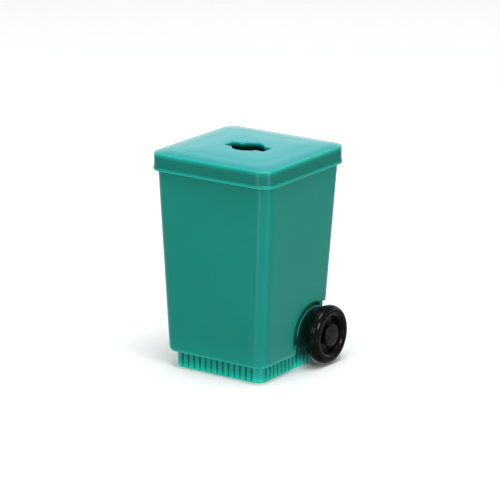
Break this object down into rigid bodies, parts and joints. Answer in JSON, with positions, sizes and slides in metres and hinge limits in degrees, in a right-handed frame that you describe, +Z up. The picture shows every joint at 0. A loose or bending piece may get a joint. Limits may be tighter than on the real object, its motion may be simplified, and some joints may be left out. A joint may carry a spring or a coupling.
{
  "type": "pencil sharpener",
  "caption": "Pencil sharpener shaped as a small two-wheeled bin: lift-off lid with a pencil hole and sharpener below, tapered shell, ribbed base, rolling wheels.",
  "frame": {"origin": "centre of the lid's outline at the ground: the base and the wheels stand on z = 0", "axes": "+Z up, -Y is the front of the bin, the wheels are at the rear on the +Y side, the axle runs along X"},
  "size_m": [0.0388, 0.0362, 0.057],
  "materials": {
    "lid_plastic": "glossy moulded teal plastic",
    "shell_plastic": "glossy moulded teal plastic",
    "base_plastic": "glossy moulded teal plastic with ribs",
    "axle_steel": "plain drawn rod",
    "wheel_plastic": "glossy black moulded plastic",
    "cap_plastic": "satin black moulded plastic",
    "sharpener_plastic": "matte black moulded plastic",
    "blade_steel": "ground and polished blade steel",
    "screw_steel": "turned slotted screw"
  },
  "bodies": {
    "bin": {"bin_shell": "shell_plastic", "base": "base_plastic", "axle": "axle_steel", "hub_cap_left": "cap_plastic", "hub_cap_right": "cap_plastic"},
    "lid_unit": {"lid": "lid_plastic", "sharpener_body": "sharpener_plastic", "blade": "blade_steel", "blade_screw": "screw_steel"},
    "left_wheel": {"wheel_left": "wheel_plastic"},
    "right_wheel": {"wheel_right": "wheel_plastic"}
  },
  "joints": [
    {"name": "lid_lift", "type": "slide", "parent": "bin", "child": "lid_unit", "axis": [0, 0, 1], "range_m": [0, 0.03]},
    {"name": "left_wheel_spin", "type": "hinge", "parent": "bin", "child": "left_wheel", "pos_m": [0, 0.01, 0.0078], "axis": [1, 0, 0], "continuous": true},
    {"name": "right_wheel_spin", "type": "hinge", "parent": "bin", "child": "right_wheel", "pos_m": [0, 0.01, 0.0078], "axis": [1, 0, 0], "continuous": true}
  ]
}
